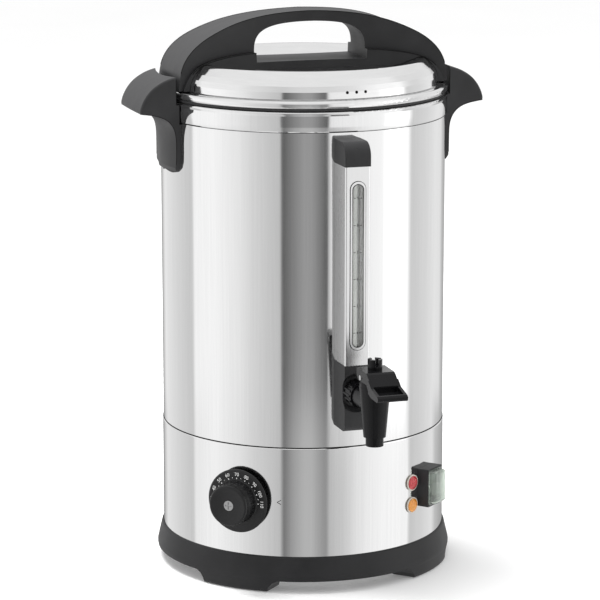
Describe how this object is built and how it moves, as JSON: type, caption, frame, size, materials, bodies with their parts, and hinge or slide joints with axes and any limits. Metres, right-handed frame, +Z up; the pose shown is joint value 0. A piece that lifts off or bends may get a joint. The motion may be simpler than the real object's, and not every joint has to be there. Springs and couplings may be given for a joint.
{
  "type": "drinks urn",
  "caption": "Upright double-walled steel urn that heats and keeps drinks hot, with lift-off lid, side handles, sight gauge, lever tap, thermostat dial, lamps and switch.",
  "frame": {"origin": "centre of the base on the surface that the urn stands on", "axes": "+Z up along the axis of the tank, -Y towards the tap, +X towards the right-hand handle seen from the tap"},
  "size_m": [0.3118, 0.3752, 0.4915],
  "materials": {
    "polished_steel": "mirror polished",
    "bright_metal": "bright",
    "brass": "plated",
    "black_plastic": "satin",
    "red_plastic": "satin",
    "rocker_green": "gloss",
    "ceramic": "matte",
    "rubber": "matte",
    "silicone": "satin",
    "clear_silicone": "clear",
    "clear_plastic": "clear",
    "red_lens": "gloss",
    "amber_lens": "gloss"
  },
  "bodies": {
    "urn_body": {"base_shell": "polished_steel", "outer_shell": "polished_steel", "collar_ring": "polished_steel", "inner_tank": "polished_steel", "gauge_column": "polished_steel", "base_ring": "black_plastic", "handle_left": "black_plastic", "handle_right": "black_plastic", "gauge_cap": "black_plastic", "tap_bracket": "black_plastic", "tap_body": "black_plastic", "tap_ring": "black_plastic", "tap_bonnet": "black_plastic", "inlet_socket": "black_plastic", "tap_nut": "black_plastic", "switch_frame": "black_plastic", "switch_cover": "clear_silicone", "foot_pads": "rubber", "bottom_plate": "bright_metal", "bottom_screws": "bright_metal", "handle_screws": "bright_metal", "heating_element": "bright_metal", "thermostat_body": "bright_metal", "thermostat_probe": "bright_metal", "inlet_screws": "bright_metal", "rocker_pin": "bright_metal", "inlet_pins": "brass", "terminal_block": "ceramic", "thermal_cutout": "ceramic", "lamp_red": "red_lens", "lamp_amber": "amber_lens", "lamp_bezels": "bright_metal", "gauge_window": "clear_plastic", "gauge_tube": "clear_plastic", "gauge_seals": "silicone", "tap_washers": "silicone", "gauge_tee": "bright_metal"},
    "lid_carrier": {"lid_seal": "silicone"},
    "lid": {"lid_dome": "polished_steel", "lid_locating_ring": "polished_steel", "lid_handle": "black_plastic", "lid_screws": "bright_metal"},
    "valve_stem": {"tap_stem": "bright_metal", "tap_seat_cup": "silicone", "tap_spring": "bright_metal"},
    "tap_lever": {"tap_lever": "black_plastic", "tap_pin": "bright_metal", "lever_crown": "black_plastic"},
    "thermostat_knob": {"thermostat_knob": "black_plastic", "thermostat_shaft": "bright_metal", "knob_screw": "bright_metal"},
    "switch_rocker": {"switch_rocker": "rocker_green"},
    "reset_button": {"reset_button": "red_plastic"}
  },
  "joints": [
    {"name": "lid_lift", "type": "slide", "parent": "urn_body", "child": "lid_carrier", "axis": [0, 0, 1], "range_m": [0, 0.12]},
    {"name": "lid_twist", "type": "hinge", "parent": "lid_carrier", "child": "lid", "pos_m": [0, 0, 0.44], "axis": [0, 0, 1], "range_deg": [0, 12]},
    {"name": "tap_stem_lift", "type": "slide", "parent": "urn_body", "child": "valve_stem", "axis": [0, 0, 1], "range_m": [0, 0.00325], "deforming": ["tap_spring"]},
    {"name": "tap_lever_tilt", "type": "hinge", "parent": "valve_stem", "child": "tap_lever", "pos_m": [0, -0.1984, 0.2066], "axis": [1, 0, 0], "range_deg": [0, 16], "stiffness_Nm_per_rad": 0.6, "springref_deg": -28.65},
    {"name": "thermostat_turn", "type": "hinge", "parent": "urn_body", "child": "thermostat_knob", "pos_m": [-0.08833, -0.09538, 0.08], "axis": [-0.6794, -0.7337, 0], "range_deg": [-180, 0]},
    {"name": "switch_tilt", "type": "hinge", "parent": "urn_body", "child": "switch_rocker", "pos_m": [0.08, -0.09011, 0.0796], "axis": [0.7478, 0.6639, 0], "range_deg": [0, 15.2]},
    {"name": "reset_press", "type": "slide", "parent": "urn_body", "child": "reset_button", "axis": [0, 0, 1], "range_m": [0, 0.0015], "stiffness_N_per_m": 300, "springref_m": -0.002}
  ],
  "couplings": [
    {"joint": "tap_stem_lift", "follows": "tap_lever_tilt", "m_per_rad": 0.0115}
  ]
}
